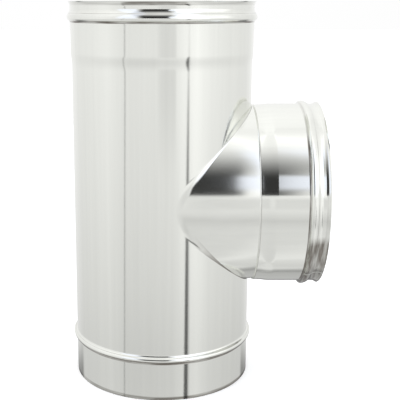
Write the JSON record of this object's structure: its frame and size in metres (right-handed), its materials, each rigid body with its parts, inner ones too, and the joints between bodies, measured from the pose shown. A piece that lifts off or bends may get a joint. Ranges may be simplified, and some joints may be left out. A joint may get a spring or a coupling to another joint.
{
  "type": "stove pipe tee",
  "caption": "Stainless stove pipe tee: a straight flue tube with a spigot below and a beaded socket above, and a beaded socket branch of equal size leaving its side at a right angle.",
  "frame": {"origin": "centre of the spigot's rim, on the main tube's axis", "axes": "+Z along the main tube from the spigot to the top socket, +X along the branch towards its mouth"},
  "size_m": [0.2095, 0.1569, 0.318],
  "materials": {
    "polished_stainless": "mirror-polished stainless steel sheet",
    "weld": "planished stainless weld"
  },
  "bodies": {
    "root": {"main_tube": "polished_stainless", "tube_seam": "weld", "branch_weld": "weld", "branch_collar": "polished_stainless", "collar_seam": "weld"}
  },
  "joints": []
}
